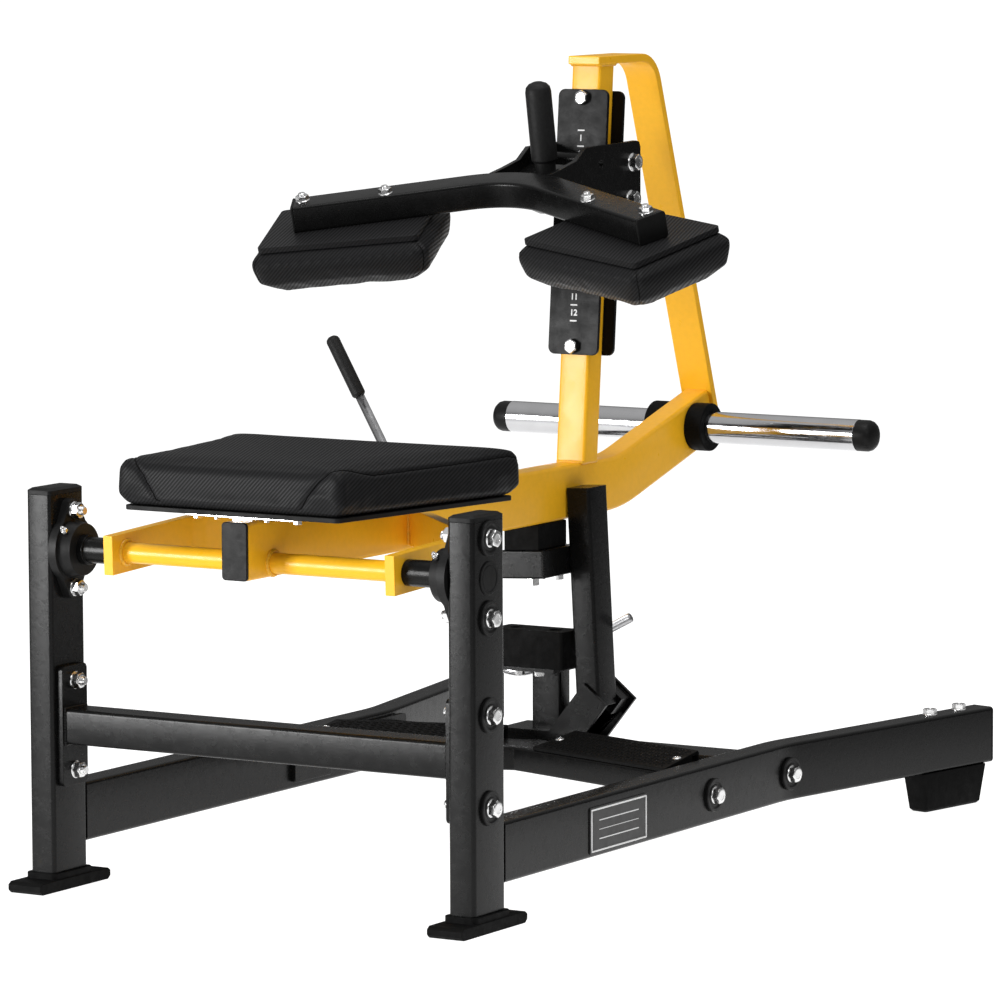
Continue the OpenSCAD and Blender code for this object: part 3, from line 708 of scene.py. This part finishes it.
lo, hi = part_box("badge_plate")
badge = Build()
cy, cz = (lo.y + hi.y) / 2, (lo.z + hi.z) / 2
hy, hz = (hi.y - lo.y) / 2 - 4 * MM, (hi.z - lo.z) / 2 - 4 * MM
frame_at = [(hi.x, cy - hy, cz - hz), (hi.x, cy + hy, cz - hz), (hi.x, cy + hy, cz + hz),
            (hi.x, cy - hy, cz + hz)]
path = []
for a, b in zip(frame_at, frame_at[1:] + frame_at[:1]):
    path += [Vector(a).lerp(Vector(b), t / 8) for t in range(8)]
badge.tube(path, 1.3, 8, 1, closed=True)
for k in (-1, 0, 1):
    badge.tube([(hi.x, cy - hy * 0.72, cz + k * hz * 0.45),
                (hi.x, cy + hy * 0.72, cz + k * hz * 0.45)], 2.4 if k else 1.4, 8)
badge.done("badge_relief", WHITE, "frame", "badge", 50)


# ---------------------------------------------------------------- tread studs

step = 13 * MM         # spacing of the studs
studs = Build()
for n in ("tread_l", "tread_r"):
    s = 1 if n.endswith("r") else -1
    turn = Matrix.Rotation(-s * TREAD_SWEEP, 4, "Z") @ Matrix.Rotation(TREAD_RISE, 4, "X")
    co = points(n) @ np.array(turn.to_3x3())
    lo, hi = co.min(0), co.max(0)
    bvh = BVHTree.FromPolygons([turn.inverted() @ v.co for v in NODES[n].data.vertices],
                               [p.vertices[:] for p in NODES[n].data.polygons])
    nx, ny = int((hi[0] - lo[0]) / step), int((hi[1] - lo[1]) / (step * 0.5))
    for j in range(ny + 1):
        for i in range(nx + 1):
            x = lo[0] + (i + 0.5 * (j % 2)) * step
            y = lo[1] + j * step * 0.5
            # a stud stands where the sheet is flat all round it
            z = None
            for dx, dy in ((9, 0), (-9, 0), (0, 7.2), (0, -7.2), (0, 0)):
                hit = bvh.ray_cast(Vector((x + dx * MM, y + dy * MM, hi[2] + 0.1)),
                                   Vector((0, 0, -1)))
                if hit[0] is None or hit[1].z < 0.995 or hi[2] - hit[0].z > 6 * MM:
                    z = None
                    break
                z = hit[0].z
            if z is not None:
                at = turn @ Matrix.Translation((x, y, z - 0.1 * MM)) @ Matrix.Rotation(
                    math.radians(45 if j % 2 else -45), 4, "Z")
                studs.block((9.5, 3.2, 1.2), at, 1.2, 0.6)
if studs.v:
    studs.done("tread_pattern", TREAD, "frame", "tread", 40)


# ---------------------------------------------------------------- cushions

def laplace(bm, times):
    for _ in range(times):
        bmesh.ops.smooth_vert(bm, verts=bm.verts, factor=0.5, use_axis_x=True, use_axis_y=True,
                              use_axis_z=True)


VOXEL = 5 * MM
DRAW_IN = 0.8 * MM     # by which the CAD cushion is shrunk first
PRESSURE = 4
PUFF = 5 * MM          # the most that the simulation moves a point
LAST_FRAME = 20


def inflate(node, name, floor_axis):
    """The cushion's CAD solid drawn in a little, remeshed and blown up by a cloth simulation.
    floor_axis points away from the board, whose face of the cushion is held."""
    src = NODES[node].data.copy()
    o = bpy.data.objects.new(name, src)
    bpy.context.scene.collection.objects.link(o)
    bm = bmesh.new()
    bm.from_mesh(src)
    bmesh.ops.remove_doubles(bm, verts=bm.verts, dist=WELD_GAP)
    bmesh.ops.recalc_face_normals(bm, faces=bm.faces)
    for v in bm.verts:
        v.co -= v.normal * DRAW_IN
    bm.to_mesh(src)
    bm.free()
    bpy.context.view_layer.objects.active = o
    o.select_set(True)
    src.remesh_voxel_size = VOXEL
    src.remesh_voxel_adaptivity = 0
    bpy.ops.object.voxel_remesh()
    o.select_set(False)
    me = o.data
    bm = bmesh.new()
    bm.from_mesh(me)
    laplace(bm, 1)
    bm.to_mesh(me)
    bm.free()
    rest = np.array([v.co[:] for v in me.vertices])
    cl = o.modifiers.new("Cloth", "CLOTH")
    cs = cl.settings
    cs.quality = 5
    cs.mass = 0.3
    cs.tension_stiffness = 25
    cs.compression_stiffness = 25
    cs.shear_stiffness = 12
    cs.bending_stiffness = 4
    cs.use_pressure = True
    cs.uniform_pressure_force = PRESSURE
    cs.effector_weights.gravity = 0
    depth = rest @ np.array(floor_axis)
    pins = [int(i) for i in np.where(depth < depth.min() + 0.9 * VOXEL)[0]]
    vg = o.vertex_groups.new(name="pin")
    vg.add(pins, 1.0, "REPLACE")
    cs.vertex_group_mass = "pin"
    cl.collision_settings.use_self_collision = False
    scene = bpy.context.scene
    cl.point_cache.frame_start, cl.point_cache.frame_end = 1, LAST_FRAME
    for f in range(1, LAST_FRAME + 1):
        scene.frame_set(f)
    dg = bpy.context.evaluated_depsgraph_get()
    ev = o.evaluated_get(dg).to_mesh()
    got = np.array([v.co[:] for v in ev.vertices])
    o.evaluated_get(dg).to_mesh_clear()
    o.modifiers.remove(cl)
    scene.frame_set(1)
    move = got - rest
    length = np.linalg.norm(move, axis=1, keepdims=True)
    length[length < 1e-9] = 1e-9
    move *= PUFF * np.tanh(length / PUFF) / length
    me.vertices.foreach_set("co", (rest + move).ravel())
    bm = bmesh.new()
    bm.from_mesh(me)
    laplace(bm, 2)
    bmesh.ops.subdivide_edges(bm, edges=bm.edges, cuts=1, use_grid_fill=True, smooth=0)
    laplace(bm, 1)
    bm.to_mesh(me)
    bm.free()
    me.materials.clear()
    me.materials.append(VINYL)
    me.polygons.foreach_set("use_smooth", [True] * len(me.polygons))
    me.polygons.foreach_set("material_index", [0] * len(me.polygons))
    return o


def press_seams(o, lines, width, depth):
    """Draws the cover in along sewn lines."""
    me = o.data
    co = np.array([v.co[:] for v in me.vertices])
    nor = np.array([v.normal[:] for v in me.vertices])
    near = np.full(len(co), 1e9)
    for line in lines:
        pts = np.array([p[:] for p in line])
        for a, b in zip(pts, pts[1:]):
            ab = b - a
            t = np.clip(((co - a) @ ab) / max(ab @ ab, 1e-12), 0, 1)
            d = np.linalg.norm(co - (a + t[:, None] * ab), axis=1)
            near = np.minimum(near, d)
    pull = depth * np.exp(-(near / width) ** 2)
    me.vertices.foreach_set("co", (co - nor * pull[:, None]).ravel())
    me.update()


def on_surface(o, guide, lift=0.0, spacing=0.004):
    """A guide line in space laid onto the cushion."""
    bvh = BVHTree.FromPolygons([v.co for v in o.data.vertices],
                               [p.vertices[:] for p in o.data.polygons])
    dense = []
    for a, b in zip(guide, guide[1:]):
        a, b = Vector(a), Vector(b)
        n = max(1, int((b - a).length / spacing))
        dense += [a.lerp(b, i / n) for i in range(n)]
    dense.append(Vector(guide[-1]))
    out = []
    for p in dense:
        hit = bvh.find_nearest(p)
        out.append(hit[0] + hit[1] * lift)
    return out


# seat: side panels joined to a cover that runs over the front edge
SEAM_WIDTH = 3.5 * MM
seat = inflate("seat_cushion", "seat_pad", (0, 0, 1))
slo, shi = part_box("seat_cushion")
co = points("seat_cushion")
front_w = np.abs(co[co[:, 1] < slo.y + 40 * MM][:, 0]).max()
rear_w = shi.x
rim = shi.z - 9 * MM
SEAM_START, SEAM_SHIFT = 78 * MM, 54 * MM  # inside the corner at the bottom, and run outwards
EDGE = 6 * MM          # the seam's place inside the side face
TURN_R = 30 * MM       # its turn at the rear corner
seams = []
for s in (-1, 1):
    guide = []
    n = 24
    # from the bottom of the front face up over the corner, then back along the top edge
    for i in range(n + 1):
        t = i / n * math.pi / 2
        guide.append((s * (front_w - SEAM_START + SEAM_SHIFT * i / n),
                      slo.y + 22 * MM * (1 - math.cos(t)) ** 1.5,
                      slo.z + (rim - slo.z) * math.sin(t)))
    last = guide[-1]
    for i in range(1, 31):
        t = i / 30
        y = last[1] + (shi.y - TURN_R - last[1]) * t
        w = front_w + (rear_w - front_w) * (y - slo.y) / (shi.y - slo.y)
        blend_in = min(1, t * 6)
        guide.append((s * ((abs(last[0]) * (1 - blend_in) + (w - EDGE) * blend_in)), y, rim))
    for i in range(1, 13):
        t = i / 12 * math.pi / 2
        y = shi.y - TURN_R + TURN_R * math.sin(t)
        guide.append((s * (rear_w - EDGE - TURN_R * (1 - math.cos(t))), y,
                      rim - (rim - slo.z) * (1 - math.cos(t))))
    seams.append(guide)
lines = [on_surface(seat, g) for g in seams]
press_seams(seat, lines, SEAM_WIDTH, 2.2 * MM)
# a thin dark cord laid along each seam: painted shade in the crease
shade_cord = Build()
for g in lines:
    laid = on_surface(seat, g, 0.1 * MM, 0.003)
    shade_cord.tube(laid, 1.0, 8)
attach(seat, "arm")
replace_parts(seat, "seat_cushion")
shade_cord.done("seat_seam_shade", SEAM_SHADE, "arm", "vinyl", 60)

# thigh pads
for n, s in (("l", -1), ("r", 1)):
    turn = ARM @ Matrix.Rotation(-s * PAD_TURN, 4, "Z")
    pad = inflate("pad_cushion_" + n, "thigh_pad_" + n, tuple(turn @ Vector((0, 0, -1))))
    blo, bhi = span("pad_board_" + n, turn)
    clo2, chi2 = span("pad_cushion_" + n, turn)
    mid = (blo + bhi) / 2
    guides = []
    for sx in (-1, 1):
        for sy in (-1, 1):
            guides.append([turn @ Vector((mid.x + sx * (bhi.x - blo.x) / 2 * k,
                                          mid.y + sy * (bhi.y - blo.y) / 2 * k,
                                          chi2.z + (clo2.z - chi2.z) * t))
                           for k, t in ((1.03, 0.02), (1.06, 0.3), (1.06, 0.55), (0.95, 0.8),
                                        (0.8, 0.97))])
    lines = [on_surface(pad, g) for g in guides]
    press_seams(pad, lines, SEAM_WIDTH, 1.6 * MM)
    # a thin dark cord laid along each of the pad's seams: painted shade in the crease
    shade_cord = Build()
    for g in lines:
        shade_cord.tube(on_surface(pad, g, 0.05 * MM, 0.003), 0.8, 8)
    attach(pad, "carriage")
    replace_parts(pad, "pad_cushion_" + n)
    shade_cord.done("thigh_pad_seam_shade_" + n, SEAM_SHADE, "carriage", "vinyl", 60)


# ---------------------------------------------------------------- studio

def stage_object(name, me, mat):
    me.materials.append(mat)
    o = bpy.data.objects.new(name, me)
    bpy.context.scene.collection.objects.link(o)
    return o


# the photograph's view, seen on the floor: straight ahead and to the right
AHEAD, ACROSS = Vector((-0.52, 0.855, 0)), Vector((0.855, 0.52, 0))
FLOOR_R, SIDES = 5, 96
me = bpy.data.meshes.new("floor")
me.from_pydata([(FLOOR_R * math.cos(a * 2 * math.pi / SIDES),
                 FLOOR_R * math.sin(a * 2 * math.pi / SIDES), 0) for a in range(SIDES)],
               [], [tuple(range(SIDES))])
fm, nt, b = material("studio_floor", (0.42, 0.42, 0.42), 0.9, spec=0.1)
nt.links.new(ramp(nt, noise(nt, coords(nt), 3, 2), [(0.3, grey(0.41)), (0.7, grey(0.43))]),
             b.inputs["Base Color"])
b.inputs["Emission Color"].default_value = (1, 1, 1, 1)
# the floor glows in a strip that widens behind the machine, and is plain grey beside it
aside = sums(nt, "VectorMath", "DOT_PRODUCT", coords(nt), tuple(ACROSS / 2))
ahead = sums(nt, "VectorMath", "DOT_PRODUCT", coords(nt), tuple(AHEAD))
edge = sums(nt, "Math", "MULTIPLY_ADD", ahead, -0.042, sums(nt, "Math", "ABSOLUTE", aside))
nt.links.new(ramp(nt, edge, [(0.43, grey(0.93)), (0.85, grey(0.35))]),
             b.inputs["Emission Strength"])
stage_object("studio_floor", me, fm)

world = bpy.data.worlds.new("studio")
bpy.context.scene.world = world
world.use_nodes = True
wn = world.node_tree
bg = wn.nodes["Background"]
# a white backdrop behind the machine, dark sides, a soft ceiling
BACKDROP = Vector((-0.52, 0.855, -0.02))
tc = wn.nodes.new("ShaderNodeTexCoord")
facing = sums(wn, "VectorMath", "DOT_PRODUCT", tc.outputs["Generated"], tuple(BACKDROP))
sep = wn.nodes.new("ShaderNodeSeparateXYZ")
wn.links.new(tc.outputs["Generated"], sep.inputs[0])
back_ramp = ramp(wn, facing, [(0.80, grey(0.0)), (0.93, grey(1.0))])
roof_ramp = ramp(wn, sep.outputs["Z"], [(0.0, grey(0.07)), (0.25, grey(0.17)), (0.6, grey(0.5)),
                                        (1.0, grey(0.6))])
low = ramp(wn, sep.outputs["Z"], [(0.0, grey(1.0)), (0.012, grey(0.0))])
mix = wn.nodes.new("ShaderNodeMix")
mix.data_type = "RGBA"
from_color, to_color = [socket for socket in mix.inputs if socket.type == "RGBA"]
wn.links.new(sums(wn, "Math", "MULTIPLY", back_ramp, low), mix.inputs[0])
wn.links.new(roof_ramp, from_color)
to_color.default_value = (1.08, 1.08, 1.08, 1)
wn.links.new([o for o in mix.outputs if o.type == "RGBA"][0], bg.inputs["Color"])
bg.inputs["Strength"].default_value = 1.0


def area(name, at, target, size, power, color=(1, 1, 1), shape_y=None):
    la = bpy.data.lights.new(name, "AREA")
    la.energy = power
    la.color = color
    la.size = size
    if shape_y:
        la.shape = "RECTANGLE"
        la.size_y = shape_y
    ob = bpy.data.objects.new(name, la)
    ob.location = at
    ob.rotation_mode = "QUATERNION"
    ob.rotation_quaternion = (Vector(target) - Vector(at)).to_track_quat("-Z", "Y")
    bpy.context.scene.collection.objects.link(ob)
    return ob


area("key", (-2.6, -4.3, 0.95), (0, 0, 0.6), 1.2, 205, shape_y=1.9)
area("top", (0.4, -0.6, 4.2), (0, 0, 0.4), 2.4, 70)
area("side", (4.6, -2.4, 3.4), (0, 0, 0.5), 1.6, 35)

# camera at the photograph's angle, from the calibration of the frame's straight edges
AZ, EL, ROLL = math.radians(31.302), math.radians(6.381), math.radians(-0.229)
back = Vector((math.sin(AZ) * math.cos(EL), -math.cos(AZ) * math.cos(EL), math.sin(EL)))
right = Vector((math.cos(AZ), math.sin(AZ), 0))
up = back.cross(right)
cx = right * math.cos(ROLL) + up * math.sin(ROLL)
cy = -right * math.sin(ROLL) + up * math.cos(ROLL)
FOCAL = 6.0026         # focal length over the picture's width
cam = bpy.data.cameras.new("camera")
cam.sensor_width = 36
cam.lens = cam.sensor_width * FOCAL
cam.clip_start, cam.clip_end = 0.1, 200
co = bpy.data.objects.new("camera", cam)
bpy.context.scene.collection.objects.link(co)
m = Matrix((cx, cy, back)).transposed().to_4x4()
m.translation = Vector((4.68595, -7.69793, 1.53077))
co.matrix_world = m
bpy.context.scene.camera = co

bpy.context.scene.view_settings.view_transform = "Standard"
bpy.context.scene.view_settings.look = "None"
